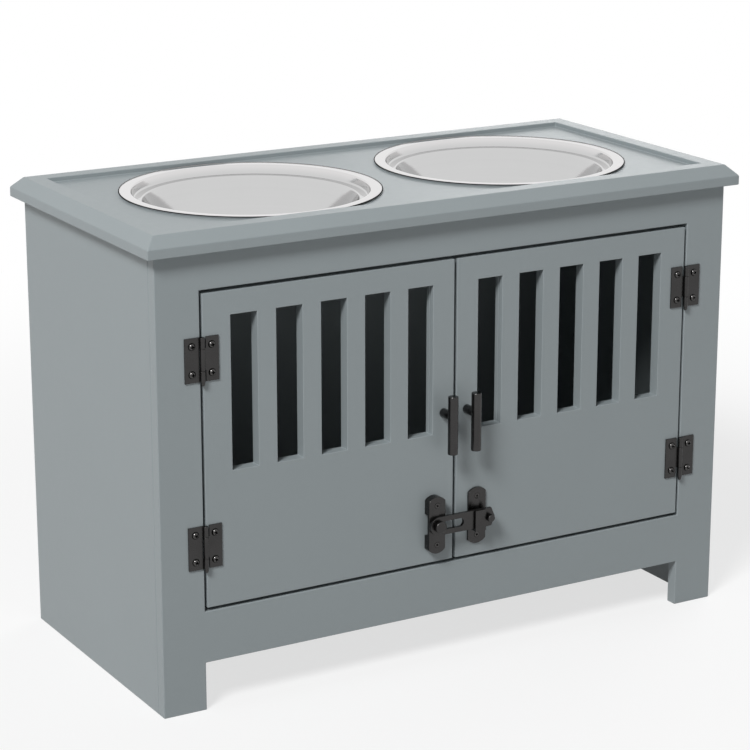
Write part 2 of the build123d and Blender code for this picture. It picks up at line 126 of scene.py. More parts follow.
class FeederSizes(bpy.types.PropertyGroup):
    """Lengths of the shaped details that the frame's boxes don't give."""

    edge_round: length("Edge rounding", "Width of the rounding on the board edges", 0.0008)
    door_round: length("Door rounding", "Width of the rounding on doors and slots", 0.0005)
    door_relief: length("Door relief", "How much a door's edge was planed for its paint", 0.0006)
    table_bevel: length("Table bevel", "Width of the slope round the table top", 0.010)
    table_lip: length("Table lip", "Width of the flat border round the tray", 0.0165)
    tray_depth: length("Tray depth", "How far the tray floor lies below the lip", 0.0045)
    hole_clearance: length("Hole clearance", "Gap round a bowl in its hole", 0.0015)
    slot_count: number("Slots", "Slots in each door", 5)
    slot_width: length("Slot width", "Width of a slot", 0.026)
    slot_height: length("Slot height", "Height of a slot", 0.1407)
    slot_margin_inner: length("Inner margin", "From the meeting edge to the first slot", 0.023)
    slot_margin_outer: length("Outer margin", "From the hinge edge to the last slot", 0.0276)
    slot_margin_top: length("Top margin", "From the door's top to the slots", 0.0224)
    slot_groove: length("Slot groove", "Width and depth of the first slot's groove", 0.0012)
    bowl_sheet: length("Bowl sheet", "Thickness of the bowl's sheet steel", 0.0009)
    bowl_rim_width: length("Rim width", "Width of the bowl's flat rim", 0.0114)
    bowl_rim_height: length("Rim height", "Height of the rim over the tray floor", 0.0021)
    bowl_collar_lean: length("Collar lean", "How far the collar leans in to the step", 0.0018)
    bowl_step_depth: length("Step depth", "Depth of the step ring below the rim", 0.0088)
    bowl_step_width: length("Step width", "Width of the step ring", 0.0084)
    bowl_depth: length("Bowl depth", "Depth of the bowl's floor below the rim", 0.062)
    bowl_wall_lean: length("Wall lean", "How far the wall leans in towards the floor", 0.0184)
    bowl_shoulder: length("Shoulder radius", "Radius between wall and floor", 0.034)
    bowl_step_round: length("Step rounding", "Radius of the bends at the step ring", 0.0018)
    bowl_rim_round: length("Rim rounding", "Radius of the rim's turned-down edge", 0.0005)
    bowl_rim_edge: length("Rim edge", "Height of the rim's upright edge", 0.0007)
    # painted shadow: spun_steel makes this ring black, for the shadow gap where the rim meets the
    # tray
    bowl_ring_width: length("Rubber ring", "Width of the ring that laps the rim's edge", 0.0009)
    bowl_ring_height: length("Rubber ring height", "Height of the ring over the rim", 0.0004)
    bowl_rim_tuck: length("Rim tuck", "How far the rim turns back in under its edge", 0.0014)
    metal_edge: length("Metal edge", "Rounding on the stamped hardware", 0.00025)
    leaf_thickness: length("Leaf thickness", "Thickness of the hinge leaves", 0.0013)
    knuckle_end: share("End knuckles", "Share of the hinge's height in each end knuckle", 0.25)
    knuckle_gap: length("Knuckle gap", "Gap between two knuckles", 0.00025)
    knuckle_clearance: length("Knuckle clearance", "Middle knuckle to the frame leaf", 0.0003)
    knuckle_relief: length("Knuckle relief", "End knuckles to the door leaf", 0.0016)
    screw_head: length("Screw head radius", "Radius of the hinge screws' heads", 0.0035)
    screw_crown: length("Screw head height", "Height of the hinge screws' domed heads", 0.0027)
    hinge_screw_span: length("Hinge screw spacing", "Between a leaf's two screws", 0.025)
    screw_shank: length("Screw shank radius", "Radius of the wood screws' shanks", 0.0013)
    flush_head: length("Flush head radius", "Radius of the latch screws' heads", 0.00275)
    flush_cone: length("Flush head depth", "Depth of the latch screws' heads", 0.0016)
    flush_crown: length("Flush head crown", "Height of the latch screws' heads", 0.0004)
    pull_bevel: length("Pull bevel", "Height of the bevel at the ends of the pulls", 0.0005)
    bolt_crown: length("Bolt head height", "Height of the pull bolts' heads", 0.0024)


class FeederFinishes(bpy.types.PropertyGroup):
    """Colours and gloss of the feeder's finishes."""

    paint: colour("Paint", "Colour of the satin paint", (0.285, 0.322, 0.334))
    paint_gloss: share("Paint roughness", "Roughness of the satin paint", 0.42)
    metal: colour("Dark metal", "Colour of the hardware's dark coating", (0.051, 0.0498, 0.0495))
    metal_gloss: share("Dark metal roughness", "Roughness of the dark coating", 0.27)
    screw: colour("Dark screws", "Colour of the screws' polished crowns", (0.07, 0.068, 0.067))
    # painted shade: this near-black on each head's edge and in its recess stands in for the shade
    # and dark reflections there
    screw_edge_shade: colour("Screw edges", "Colour of the blackened edges", (0.006, 0.006, 0.006))
    screw_gloss: share("Dark screw roughness", "Roughness of the blackened screws", 0.16)
    # partly painted shade: darker than the rim for its satin and also for the dimmer reflections
    # inside the bowl
    steel: colour("Bowl steel", "Colour of the steel inside the bowls", (0.61, 0.61, 0.61))
    steel_rim: colour("Bowl rim", "Colour of the polished rim", (0.70, 0.69, 0.69))
    # painted shadow: black for the ring round a bowl's rim, in place of the shadow gap there
    rubber: colour("Rubber", "Colour of the ring round a bowl's rim", (0.02, 0.02, 0.02))
    steel_gloss: share("Bowl steel roughness", "Roughness of the spun steel", 0.075)
    zinc: colour("Zinc", "Colour of the plated screws", (0.52, 0.52, 0.50))
    beech: colour("Beech", "Colour of the dowels' bare wood", (0.62, 0.45, 0.27))


class FeederStage(bpy.types.PropertyGroup):
    """The floor, the light and the camera."""

    floor: colour("Floor", "Colour of the floor", (0.88, 0.88, 0.88))
    bounce: colour("Bounce", "Colour of the floor as the feeder sees it", (0.45, 0.45, 0.45))
    floor_cover: share("Shadow cover", "How much of the near shadow the white hides", 0.7)
    floor_near: length("Shadow reach", "Where the floor starts to turn plain white", 0.5)
    floor_far: length("White floor", "Distance from which the floor is plain white", 1.5)
    floor_radius: length("Floor radius", "Radius of the floor", 40.0)
    sky: light("Sky level", "Strength of the even light from all round", 0.16)
    key: light("Key level", "Light of the key lamp on a surface that faces it", 0.88)
    rear: light("Rear level", "Light of the rear lamp on a surface that faces it", 0.42)
    fill: light("Fill level", "Light of the front fill lamp on a surface that faces it", 0.06)
    sheen: light("Sheen level", "Light of the low rear lamp that glances off the table", 0.058)
    camera_azimuth: angle("Camera azimuth", "From the front to the left", math.radians(30.1))
    camera_elevation: angle("Camera elevation", "Over the horizon", math.radians(16.13))
    camera_distance: length("Camera distance", "From the camera to its target", 2.45)
    camera_target: point("Camera target", "What the camera looks at", (-0.0044, 0.0044, 0.2399))
    camera_lens: lens("Camera lens", "Focal length of the camera", 122.45)


# ---- shader maths ----


class Value:
    """An output socket of a shader node, which takes part in sums like a number."""

    def __init__(self, graph, socket):
        self.graph = graph
        self.socket = socket

    def _math(self, operation, *terms):
        return self.graph.node("ShaderNodeMath", dict(enumerate(terms)), operation=operation)

    def other(self, name):
        """Another output of the same node."""
        return Value(self.graph, self.socket.node.outputs[name])

    def __add__(self, term):
        return self._math("ADD", self, term)

    __radd__ = __add__

    def __sub__(self, term):
        return self._math("SUBTRACT", self, term)

    def __rsub__(self, term):
        return self._math("SUBTRACT", term, self)

    def __mul__(self, term):
        return self._math("MULTIPLY", self, term)

    __rmul__ = __mul__

    def __gt__(self, term):
        return self._math("GREATER_THAN", self, term)


class Graph:
    """The node tree of a material or of the world."""

    def __init__(self, owner):
        owner.use_nodes = True
        self.tree = owner.node_tree
        self.tree.nodes.clear()

    def node(self, kind, sockets=None, out=0, **settings):
        """Adds a node: its settings first, then the values or links of its sockets.

        Gives one of its outputs, or nothing where it has none.
        """
        made = self.tree.nodes.new(kind)
        for name, setting in settings.items():
            setattr(made, name, setting)
        for name, value in (sockets or {}).items():
            if isinstance(value, Value):
                self.tree.links.new(value.socket, made.inputs[name])
            else:
                made.inputs[name].default_value = value
        return Value(self, made.outputs[out]) if made.outputs else None

    def place(self):
        """The place of a point on its own object."""
        return self.node("ShaderNodeTexCoord", out="Object")

    def mark(self, name):
        """A number that the mesh gives for each of its points."""
        return self.node("ShaderNodeAttribute", out="Fac", attribute_name=name)

    def noise(self, place, scale, detail=2.0, roughness=0.5, dimensions="3D"):
        """A soft noise from 0 to 1, with its grains 1 / scale apart."""
        where = "W" if dimensions == "1D" else "Vector"
        sockets = {where: place, "Scale": scale, "Detail": detail, "Roughness": roughness}
        return self.node("ShaderNodeTexNoise", sockets, noise_dimensions=dimensions)

    def mix(self, factor, a, b):
        """Colour a where the factor is 0 and colour b where it is 1."""
        # a Mix node has its colours at inputs 6 and 7 and the mixed one at output 2
        return self.node("ShaderNodeMix", {"Factor": factor, 6: a, 7: b}, out=2, data_type="RGBA")

    def tinted(self, pattern, shade, low, high):
        """A colour whose level a pattern from 0 to 1 takes from low to high."""
        return self.mix(pattern, tint(shade, low), tint(shade, high))

    def uneven(self, level, pattern, spread):
        """A number that a pattern from 0 to 1 spreads about its level."""
        return level - spread / 2 + spread * pattern

    def bump(self, height, depth):
        """A normal that follows a height from 0 to 1, scaled to a real depth."""
        return self.node("ShaderNodeBump", {"Height": height, "Distance": depth, "Strength": 1.0})

    def shader(self, **sockets):
        """A Principled shader; a socket's name is written with _ for its spaces."""
        named = {name.replace("_", " "): value for name, value in sockets.items()}
        return self.node("ShaderNodeBsdfPrincipled", named)


def solid(shade):
    """A colour with its alpha, as a colour socket takes it."""
    return (*shade, 1.0)


def tint(shade, level):
    """A colour made lighter or darker by one factor."""
    return solid([min(1.0, part * level) for part in shade])


WHITE = solid((1, 1, 1))

# ---- finishes ----


def satin_paint(graph, finishes):
    """Sprayed satin paint: a faint cloud in its colour, orange peel and a slightly uneven gloss."""
    place = graph.place()
    cloud = graph.noise(place, scale=9.0, detail=3.0)
    mist = graph.noise(place, scale=140.0)
    peel = graph.noise(place, scale=620.0, detail=1.0)
    grit = graph.noise(place, scale=2400.0, detail=0.0)
    return graph.shader(
        Base_Color=graph.tinted(cloud * 0.7 + mist * 0.3, finishes.paint, low=0.965, high=1.035),
        Roughness=graph.uneven(finishes.paint_gloss, mist, spread=0.10),
        Normal=graph.bump(0.85 * peel + 0.15 * grit, depth=0.00005),
    )


def dark_coating(graph, finishes):
    """Dark coated metal: fine grain in the coat, with small duller clouds."""
    place = graph.place()
    cloud = graph.noise(place, scale=60.0, detail=3.0)
    grain = graph.noise(place, scale=1900.0)
    return graph.shader(
        Base_Color=graph.tinted(cloud, finishes.metal, low=0.85, high=1.15),
        Metallic=1.0,
        Roughness=graph.uneven(finishes.metal_gloss, 0.6 * cloud + 0.4 * grain, spread=0.16),
        Normal=graph.bump(grain, depth=0.00004),
    )


def spun_steel(graph, finishes):
    """Spun stainless steel with fine rings and soft wipes: polished on its rim, satin in the bowl,
    whose darker steel is partly painted shade.

    A black ring takes its place where the mesh says so: painted shadow for the dark gap round the
    rim's edge.
    """
    along = graph.mark("spun")
    rings = graph.noise(along, scale=1600.0, detail=3.0, dimensions="1D")
    bands = graph.noise(along, scale=190.0, dimensions="1D")
    wipes = graph.noise(graph.place(), scale=24.0, detail=4.0, roughness=0.6)
    cloud = 0.5 * bands + 0.5 * wipes
    # the darker steel in the bowl is partly its satin and partly painted shade for its dimmer
    # reflections
    satin = graph.tinted(cloud, finishes.steel, low=0.97, high=1.03)
    bright = graph.tinted(cloud, finishes.steel_rim, low=0.98, high=1.02)
    steel = graph.shader(
        Base_Color=graph.mix(graph.mark("polish_and_shade"), satin, bright),
        Metallic=1.0,
        Roughness=finishes.steel_gloss - 0.05 + 0.06 * wipes + 0.05 * rings,
        Normal=graph.bump(0.75 * rings + 0.25 * bands, depth=0.000012),
    )
    # painted shadow: a black ring round the rim's edge stands in for the dark gap between rim and
    # tray
    black = solid(finishes.rubber)
    rubber = graph.shader(Base_Color=black, Roughness=0.75, Specular_IOR_Level=0.1)
    return graph.node("ShaderNodeMixShader", {0: graph.mark("rubber"), 1: steel, 2: rubber})


def blackened_and_shaded_screw(graph, finishes):
    """Blackened steel, polished on the crown of each head; the black on its edge and in its recess
    is painted shade.
    """
    cloud = graph.noise(graph.place(), scale=700.0)
    crown = graph.tinted(cloud, finishes.screw, low=0.8, high=1.2)
    return graph.shader(
        Base_Color=graph.mix(graph.mark("polish_and_shade"), solid(finishes.screw_edge_shade), crown),
        Metallic=1.0,
        Roughness=graph.uneven(finishes.screw_gloss, cloud, spread=0.06),
    )


def zinc_plate(graph, finishes):
    """Zinc plated steel: a bright metal with a faint cloud."""
    cloud = graph.noise(graph.place(), scale=500.0, detail=3.0)
    return graph.shader(
        Base_Color=graph.tinted(cloud, finishes.zinc, low=0.85, high=1.1),
        Metallic=1.0,
        Roughness=graph.uneven(0.35, cloud, spread=0.14),
    )


def bare_beech(graph, finishes):
    """Bare beech: long streaks along X with short dark flecks."""
    stretch = {"Vector": graph.place(), "Scale": (14.0, 260.0, 260.0)}
    place = graph.node("ShaderNodeMapping", stretch)
    streaks = graph.noise(place, scale=1.0, detail=4.0)
    flecks = graph.noise(place, scale=6.0, detail=1.0) > 0.68
    return graph.shader(
        Base_Color=graph.tinted(0.8 * streaks + 0.2 * flecks, finishes.beech, low=1.1, high=0.7),
        Roughness=graph.uneven(0.68, streaks, spread=0.12),
        Normal=graph.bump(streaks, depth=0.00008),
    )


# the frame's material slots and the finish that each of them gets
FINISHES = {
    "painted_wood": satin_paint,
    "dark_metal": dark_coating,
    "stainless_steel": spun_steel,
    "zinc_screws": zinc_plate,
    "bare_wood": bare_beech,
}


def material(name, make, settings):
    """A material whose shader a function makes from a graph and the settings."""
    made = bpy.data.materials.new(name)
    graph = Graph(made)
    graph.node("ShaderNodeOutputMaterial", {"Surface": make(graph, settings)})
    return made


def finish(make):
    """The material of a finish, made when it is first asked for."""
    name = make.__name__
    made = bpy.data.materials.get(name)
    return made or material(name, make, bpy.context.scene.feeder_finishes)


# ---- surfaces from arrays ----

WELD_DIGITS = 7  # points that agree to so many decimals of a metre are one
MERGE_WITHIN = 2e-6  # corners of the frame's triangles that lie so close are one
FLAT_WITHIN = math.radians(0.5)  # faces of the frame that turn less than this are one


def weld(points, quads):
    """Joins points that share a place and turns quads that lost a side into triangles.

    Gives the points, the faces and, for each point, the place of its first copy in the old list.
    """
    _, first, back = np.unique(
        np.round(points, WELD_DIGITS), axis=0, return_index=True, return_inverse=True
    )
    quads = back.reshape(-1)[quads]
    same = quads == np.roll(quads, 1, axis=1)
    lost = same.sum(axis=1)
    triangles = quads[lost == 1][~same[lost == 1]].reshape(-1, 3)
    return points[first], [*quads[lost == 0].tolist(), *triangles.tolist()], first


def grid_quads(rows, columns, closed=False):
    """Quads between the points of a grid that is stored row by row.

    A closed grid has its last column joined to its first.
    """
    index = np.arange(rows * columns).reshape(rows, columns)
    if closed:
        index = np.concatenate([index, index[:, :1]], axis=1)
    ring = [index[:-1, :-1], index[:-1, 1:], index[1:, 1:], index[1:, :-1]]
    return np.stack(ring, axis=-1).reshape(-1, 4)


def joined(*surfaces):
    """Several surfaces, each of points and quads, as one."""
    starts = np.cumsum([0] + [len(points) for points, _ in surfaces])
    return (
        np.concatenate([points for points, _ in surfaces]),
        np.concatenate([quads + start for (_, quads), start in zip(surfaces, starts)]),
    )


def cell_solid(xs, ys, zs, solid_cells):
    """A solid made of box cells between the planes xs, ys and zs, some of which are left out.

    A quad lies wherever a solid cell meets an empty one, so the difference between neighbouring
    cells along an axis says where the quads of that axis are and which way they face. Neighbours
    share their corners.
    """
    planes = [np.asarray(values, float) for values in (xs, ys, zs)]
    index = np.arange(np.prod([len(p) for p in planes])).reshape([len(p) for p in planes])
    padded = np.pad(solid_cells.astype(int), 1)
    unit = np.eye(3, dtype=int)
    found = []
    for axis in range(3):
        inner = [slice(1, -1)] * 3
        inner[axis] = slice(None)
        step = np.diff(padded, axis=axis)[tuple(inner)]
        b, c = unit[(axis + 1) % 3], unit[(axis + 2) % 3]
        for facing in (-1, 1):
            at = np.argwhere(step == -facing)
            ring = [at, at + b, at + b + c, at + c][::facing]
            found.append(np.stack([index[tuple(corner.T)] for corner in ring], axis=1))
    used, quads = np.unique(np.concatenate(found), return_inverse=True)
    points = np.stack(np.meshgrid(*planes, indexing="ij"), axis=-1).reshape(-1, 3)[used]
    return points, quads.reshape(-1, 4)


def rounded(corner_rows, steps):
    """A flat path through corners, each given by its place and the radius of its bend.

    The arc of a bend starts and ends at radius * tan(turn / 2) from the corner. With u and v the
    unit directions into and out of the corner, a point of it is
    start + radius * (sin(a) * u + (1 - cos(a)) * n), where n is square to u on the side of v and a
    runs from 0 to the turn. A corner whose radius is 0 stays, and so do both ends.
    """
    rows = np.asarray(corner_rows, float)
    path, radii = rows[:, :2], rows[1:-1, 2]
    pieces = [path[:1]]
    for before, corner, after, radius in zip(path, path[1:], path[2:], radii):
        if not radius:
            pieces.append(corner[None])
            continue
        u, v = corner - before, after - corner
        u, v = u / np.linalg.norm(u), v / np.linalg.norm(v)
        turn = math.acos(np.clip(u @ v, -1.0, 1.0))
        n = v - (u @ v) * u
        n /= np.linalg.norm(n)
        a = np.linspace(0.0, turn, steps + 1)[:, None]
        start = corner - u * radius * math.tan(turn / 2)
        pieces.append(start + radius * (np.sin(a) * u + (1 - np.cos(a)) * n))
    return np.concatenate([*pieces, path[-1:]])


def refined(path, longest):
    """The same flat path with extra points, so that no stretch is longer than asked."""
    pieces = [path[:1]]
    for start, end in zip(path, path[1:]):
        count = max(1, math.ceil(np.linalg.norm(end - start) / longest))
        pieces.append(start + (end - start) * np.linspace(0, 1, count + 1)[1:, None])
    return np.concatenate(pieces)


def lathe(path, centre, axis, start, turns):
    """A path of (radius, height) carried once round an axis.

    Its points are centre + radius * (cos(t) * start + sin(t) * side) + height * axis. The side is
    square to the axis and the start, so a path that runs from the upper pole outwards and down to
    the lower pole faces outwards. Its two ends lie on the axis, where weld closes them.
    """
    side = np.cross(axis, start)
    t = np.linspace(0.0, 2 * math.pi, turns, endpoint=False)
    round_about = np.cos(t)[:, None] * start + np.sin(t)[:, None] * side
    radius, height = path.T
    points = centre + radius[:, None, None] * round_about + height[:, None, None] * axis
    return points.reshape(-1, 3), grid_quads(len(path), turns, closed=True)[:, ::-1]


def shown(name, data):
    """An object that shows a mesh, a lamp or a camera in the scene."""
    made = bpy.data.objects.new(name, data)
    bpy.context.scene.collection.objects.link(made)
    return made


def meshed(name, surface):
    """A mesh of a surface, and the places that its points have in the surface."""
    points, faces, first = weld(*surface)
    mesh = bpy.data.meshes.new(name)
    mesh.from_pydata(points, [], faces)
    return mesh, first


def piece(name, surface, nodes, marks=None, **look):
    """Puts a surface into a mesh object that stands for the given frame nodes.

    Marks are numbers for each point, which a finish reads by their names.
    """
    mesh, first = meshed(name, surface)
    for mark, values in (marks or {}).items():
        made = mesh.attributes.new(mark, "FLOAT", "POINT")
        made.data.foreach_set("value", values[first].astype(np.float32))
    placed(name, mesh, nodes, **look)


def placed(name, mesh, replaces, bevel=0.0, sharp=40.0, coat=None):
    """Shades a mesh smooth up to the sharp angle, rounds its sharp edges and gives it to the frame.

    It takes the body and the slot of the first node that it stands for.
    """
    if not len(mesh.polygons):
        raise RuntimeError(f"{name} has no faces")
    body = frame["nodes"][replaces[0]]["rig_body"]
    slot = SLOT_OF[replaces[0]]
    mesh.polygons.foreach_set("use_smooth", np.ones(len(mesh.polygons), bool))
    mesh.set_sharp_from_angle(angle=math.radians(sharp))
    mesh.materials.append(finish(coat or FINISHES[slot]))
    made = shown(name, mesh)
    if bevel:
        edge = made.modifiers.new("Rounded edges", "BEVEL")
        edge.width, edge.segments = bevel, 2
        edge.limit_method, edge.angle_limit = "ANGLE", math.radians(sharp)
        edge.harden_normals = True
    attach(made, body)
    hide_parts(*replaces)


def softened(node, name, bevel):
    """A copy of a frame node with its flat faces made whole and its sharp edges rounded."""
    work = bmesh.new()
    work.from_mesh(frame["nodes"][node].data)
    bmesh.ops.remove_doubles(work, verts=work.verts, dist=MERGE_WITHIN)
    bmesh.ops.dissolve_limit(work, angle_limit=FLAT_WITHIN, verts=work.verts, edges=work.edges)
    mesh = bpy.data.meshes.new(name)
    work.to_mesh(mesh)
    work.free()
    mesh.materials.clear()
    placed(name, mesh, [node], bevel)


def turned(name, node, path, centre, turns, axis=Z, **look):
    """A turned piece for one frame node: a path of (radius, height) round an axis."""
    piece(name, lathe(path, centre, axis, X, turns), [node], **look)


# ---- operators ----


class FeederOperator:
    """What the feeder's operators have in common."""

    bl_options = {"REGISTER", "UNDO"}

    @property
    def sizes(self):
        return bpy.context.scene.feeder_sizes


class FEEDER_OT_face_frame(FeederOperator, bpy.types.Operator):
    """Make the face frame round the doors"""

    bl_idname = "feeder.face_frame"
    bl_label = "Face Frame"

    def execute(self, context):
        rail_low, rail_high = corners("face_bottom_rail")
        top_low, top_high = corners("face_top_rail")
        xs = [STILE_LOW[0], STILE_HIGH[0], -STILE_HIGH[0], -STILE_LOW[0]]
        zs = [STILE_LOW[2], rail_low[2], rail_high[2], top_low[2], top_high[2]]
        cells = np.ones((3, 1, 4), bool)
        cells[1, 0, [0, 2]] = False  # the space between the feet and the door opening
        surface = cell_solid(xs, [STILE_LOW[1], STILE_HIGH[1]], zs, cells)
        nodes = ["face_stile_left", "face_stile_right", "face_top_rail", "face_bottom_rail"]
        piece("face_frame", surface, nodes, bevel=self.sizes.edge_round)
        return {"FINISHED"}


class FEEDER_OT_panels(FeederOperator, bpy.types.Operator):
    """Make the sides, the back, the floor and the strips inside"""

    bl_idname = "feeder.panels"
    bl_label = "Panels"

    BOARDS = {
        "side_panel_left": "left_side",
        "side_panel_right": "right_side",
        "back_panel": "back_board",
        "floor_panel": "storage_floor",
        "door_stop": "front_stop",
        "rear_rail": "rear_strip",
        "floor_cleat_left": "left_floor_strip",
        "floor_cleat_right": "right_floor_strip",
        "top_cleat_left": "left_top_strip",
        "top_cleat_right": "right_top_strip",
    }

    def execute(self, context):
        one_cell = np.ones((1, 1, 1), bool)
        for node, name in self.BOARDS.items():
            surface = cell_solid(*zip(*corners(node)), one_cell)
            piece(name, surface, [node], bevel=self.sizes.edge_round)
        return {"FINISHED"}


class FEEDER_OT_table_top(FeederOperator, bpy.types.Operator):
    """Make the bevelled table top with its tray and its two bowl holes"""

    bl_idname = "feeder.table_top"
    bl_label = "Table Top"

    ALONG = 40  # stretches along half of a long side
    ACROSS = 56  # stretches along a short side
    RINGS = 4  # rings from a hole to the outline
    CROWDING = 1.5  # how much the rings crowd towards the hole

    def half_outline(self):
        """The outline of the half 0..1 by -1..1, anticlockwise from its lower inner corner."""
        run, rise = np.linspace(0, 1, self.ALONG + 1), np.linspace(-1, 1, self.ACROSS + 1)
        bottom = np.stack([run, -np.ones_like(run)], axis=1)
        outer = np.stack([np.ones_like(rise), rise], axis=1)
        back = (bottom * [1, -1])[::-1]
        inner = outer * [0, -1]
        return np.concatenate([bottom, outer[1:], back[1:], inner[1:]])

    def holed_half(self, half, centre, radius, height):
        """A flat half of the top with its round hole, as rings that go from the hole outwards.

        Ring s is hole * (1 - s) + outline * s, and each point of the hole lies in the direction of
        its outline point.
        """
        outline = self.half_outline() * half
        spoke = outline - centre
        hole = centre + radius * spoke / np.linalg.norm(spoke, axis=1)[:, None]
        s = np.linspace(0, 1, self.RINGS)[:, None, None] ** self.CROWDING
        rings = hole * (1 - s) + outline * s
        points = np.concatenate([rings, np.full_like(rings[..., :1], height)], axis=-1)
        return points.reshape(-1, 3), grid_quads(len(rings), len(outline))

    def execute(self, context):
        sizes = self.sizes
        half = (TABLE_HIGH - TABLE_LOW)[:2] / 2
        bottom, top = TABLE_LOW[2], TABLE_HIGH[2]
        floor = top - sizes.tray_depth
        lip_outer = half - sizes.table_bevel
        tray = lip_outer - sizes.table_lip
        _, _, bowl, rim = measured("bowl_right")
        centre = (bowl - MIDDLE)[:2]
        radius = rim - sizes.bowl_rim_width + sizes.bowl_sheet + sizes.hole_clearance

        # half sizes and heights of the loops from the underside, round the outside, to the tray
        slope = top - sizes.table_bevel
        loops = [(half, bottom), (half, slope), (lip_outer, top), (tray, top), (tray, floor)]
        outline = self.half_outline()
        count = len(outline)
        outer = outline[: 2 * self.ALONG + self.ACROSS + 1]
        edge = [np.column_stack([outer * size, np.full(len(outer), z)]) for size, z in loops]
        floor_half = self.holed_half(tray, centre, radius, floor)
        under_half = self.holed_half(half, centre, radius, bottom)
        wall = np.concatenate([under_half[0][:count], floor_half[0][:count]])
        points, quads = joined(
            (np.concatenate(edge), grid_quads(len(loops), len(outer))),
            (floor_half[0], floor_half[1][:, ::-1]),
            under_half,
            (wall, grid_quads(2, count)[:, ::-1]),
        )
        points, quads = joined((points, quads), (points * [-1, 1, 1], quads[:, ::-1]))
        surface = points + MIDDLE * FLAT, quads
        piece("tray_top", surface, ["table_top"], bevel=sizes.edge_round)
        return {"FINISHED"}


class FEEDER_OT_doors(FeederOperator, bpy.types.Operator):
    """Make the two slotted doors"""

    bl_idname = "feeder.doors"
    bl_label = "Doors"

    def cells(self, width):
        """The planes across a door, from its meeting edge outwards, and its cells.

        A door has three layers in its depth and three rows in its height. In the middle row, the
        slots leave out cells of every layer and the groove beside the first slot those of the
        middle layer.
        """
        sizes = self.sizes
        margins = sizes.slot_margin_inner + sizes.slot_margin_outer
        pitch = (width - margins - sizes.slot_width) / (sizes.slot_count - 1)
        starts = sizes.slot_margin_inner + pitch * np.arange(sizes.slot_count)
        walls = np.stack([starts, starts + sizes.slot_width], axis=1)
        groove = walls[0] + [-sizes.slot_groove, sizes.slot_groove]
        nanometres = 9  # planes that agree to so many decimals are one
        planes = np.unique(np.round([0.0, *groove, *walls.ravel(), width], nanometres))
        centres = (planes[1:] + planes[:-1]) / 2
        slots = (centres[:, None] > walls[:, 0]) & (centres[:, None] < walls[:, 1])
        grooved = (centres > groove[0]) & (centres < groove[1])
        cells = np.ones((len(centres), 3, 3), bool)
        cells[slots.any(axis=1), :, 1] = False
        cells[grooved, 1, 1] = False
        return planes, cells

    def execute(self, context):
        sizes = self.sizes
        for side, sign in SIDES.items():
            low, high = corners(f"door_{side}")
            across, cells = self.cells(high[0] - low[0])
            middle = (low[1] + high[1]) / 2
            half_groove = sizes.slot_groove / 2
            ys = [low[1], middle - half_groove, middle + half_groove, high[1]]
            slot_top = high[2] - sizes.slot_margin_top
            zs = np.array([low[2], slot_top - sizes.slot_height, slot_top, high[2]])
            for planes in (across, zs):
                planes[[0, -1]] += [sizes.door_relief, -sizes.door_relief]
            inner = low[0] if sign > 0 else high[0]
            xs = inner + sign * across
            if sign < 0:
                xs, cells = xs[::-1], cells[::-1]
            surface = cell_solid(xs, ys, zs, cells)
            piece(f"slotted_door_{side}", surface, [f"door_{side}"], bevel=sizes.door_round)
        return {"FINISHED"}


class FEEDER_OT_bowls(FeederOperator, bpy.types.Operator):
    """Make the two spun steel bowls"""

    bl_idname = "feeder.bowls"
    bl_label = "Bowls"

    TURNS = 192
    BEND_STEPS = 12
    LONGEST = 0.008  # longest stretch of the bowl's profile
    HAIR = 1e-5  # slope of the inner edge of the black ring of painted rim shadow
    COLLAR_BEND = 1.2  # bend below the collar, as a share of the step's other bends
    EDGE_BEND = 0.5  # bend below the rim's edge, as a share of the one above it
    RING_DROP = 1.1  # how far down the black ring of painted rim shadow reaches, as a share of the edge's height

    def profile(self, rim):
        """The closed path of a bowl's sheet, and the marks of its points.

        The path runs along the inside, and back along the outside one thickness to the right of
        it and square to it. Heights are measured from the top of the rim.
        """
        sizes = self.sizes
        wall = rim - sizes.bowl_rim_width
        collar = wall - sizes.bowl_collar_lean
        step = collar - sizes.bowl_step_width
        ring = rim - sizes.bowl_ring_width
        bend, edge = sizes.bowl_step_round, sizes.bowl_rim_edge
        floor, shelf, flat = -sizes.bowl_depth, -sizes.bowl_step_depth, -sizes.bowl_ring_height
        inside = rounded(
            [
                (0.0, floor, 0.0),
                (step - sizes.bowl_wall_lean, floor, sizes.bowl_shoulder),
                (step, shelf, bend),
                (collar, shelf, bend * self.COLLAR_BEND),
                (wall, flat, bend),
                (ring - self.HAIR, flat, 0.0),
                (ring, 0.0, 0.0),
                (rim, 0.0, sizes.bowl_rim_round),
                (rim, -edge, sizes.bowl_rim_round * self.EDGE_BEND),
                (rim - sizes.bowl_rim_tuck, -sizes.bowl_rim_height, 0.0),
            ],
            self.BEND_STEPS,
        )
        inside = refined(inside, self.LONGEST)
        ahead = np.gradient(inside, axis=0)
        ahead /= np.linalg.norm(ahead, axis=1)[:, None]
        outside = inside + sizes.bowl_sheet * np.stack([ahead[:, 1], -ahead[:, 0]], axis=1)
        outside[0, 0] = 0.0
        path = np.concatenate([inside, outside[::-1]])
        stretches = np.linalg.norm(np.diff(path, axis=0), axis=1)
        # the polished rim and the black ring of painted rim shadow are marked on the upper side
        # alone
        radii, heights = np.pad(inside, ((0, len(outside)), (0, 0))).T
        on_ring = (radii > ring - self.HAIR / 2) & (heights > -self.RING_DROP * edge)
        return path, {
            "spun": np.concatenate([[0.0], np.cumsum(stretches)]),
            "polish_and_shade": (radii > wall - bend / 2) * 1.0,
            "rubber": on_ring * 1.0,
        }

    def execute(self, context):
        for side in SIDES:
            node = f"bowl_{side}"
            _, high, middle, rim = measured(node)
            path, marks = self.profile(rim)
            marks = {name: np.repeat(values, self.TURNS) for name, values in marks.items()}
            centre = middle * FLAT + high * Z
            name = f"steel_bowl_{side}"
            turned(name, node, path, centre, self.TURNS, marks=marks, sharp=60.0)
        return {"FINISHED"}


